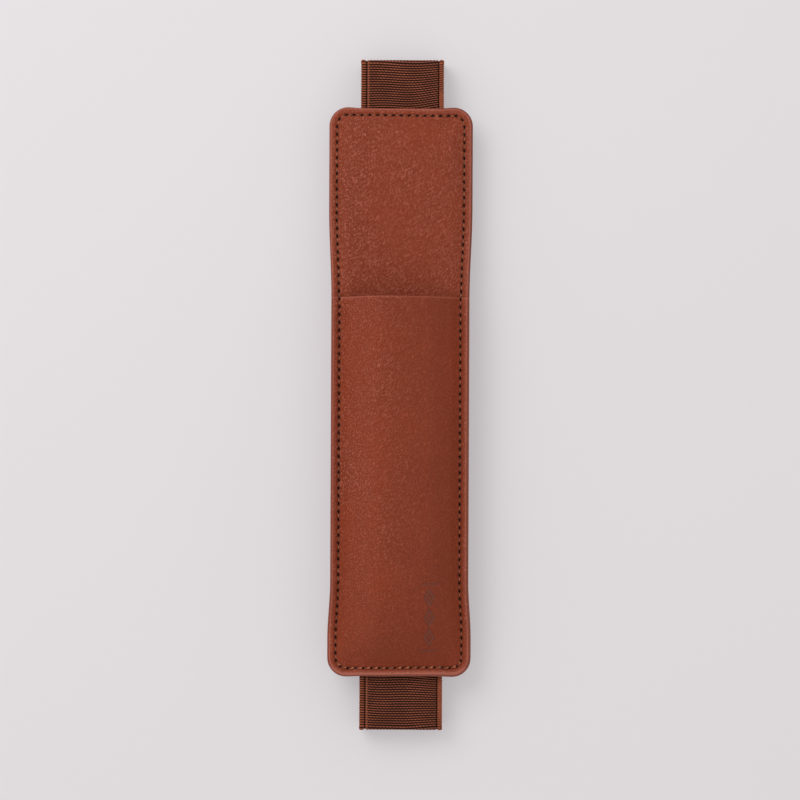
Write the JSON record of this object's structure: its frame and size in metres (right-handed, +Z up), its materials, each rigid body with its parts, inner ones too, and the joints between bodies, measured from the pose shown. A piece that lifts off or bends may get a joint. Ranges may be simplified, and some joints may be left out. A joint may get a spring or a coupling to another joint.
{
  "type": "fountain pen case",
  "caption": "Stitched leather pen sleeve with an open-topped front pocket, worn flat on a notebook's cover by a wide elastic band that loops lengthwise round it.",
  "frame": {"origin": "on the resting face of the band's back run, in the middle of the loop's length and width", "axes": "+X across the case to the right, +Y along the case towards the pocket's mouth, +Z up, away from the band's back run"},
  "size_m": [0.0454, 0.2124, 0.023],
  "materials": {
    "leather": "pebbled red-brown leather with a soft satin sheen",
    "lining": "thin plain woven cloth",
    "board": "plain fibre board, hidden between the panels",
    "foam": "thin soft foam, hidden between the panels",
    "thread": "twisted brown sewing thread",
    "elastic": "dark brown woven elastic with cross ribs and lighter rolled edges"
  },
  "bodies": {
    "case": {"back_panel": "leather", "stiffener_board": "board", "foam_pad": "foam", "face_panel": "leather", "pocket_lining": "lining", "pocket_panel": "leather", "needle_thread": "thread", "bobbin_thread": "thread", "elastic_top_tab": "elastic", "elastic_top_leg": "elastic", "elastic_bottom_leg": "elastic", "elastic_bottom_tab": "elastic"},
    "band_back": {"elastic_top_turn": "elastic", "elastic_back_run": "elastic", "elastic_bottom_turn": "elastic"}
  },
  "joints": [
    {"name": "band_stretch", "type": "slide", "parent": "case", "child": "band_back", "axis": [0, 0, -1], "range_m": [-0.003, 0.01], "stiffness_N_per_m": 400, "deforming": ["elastic_top_leg", "elastic_bottom_leg"]}
  ]
}
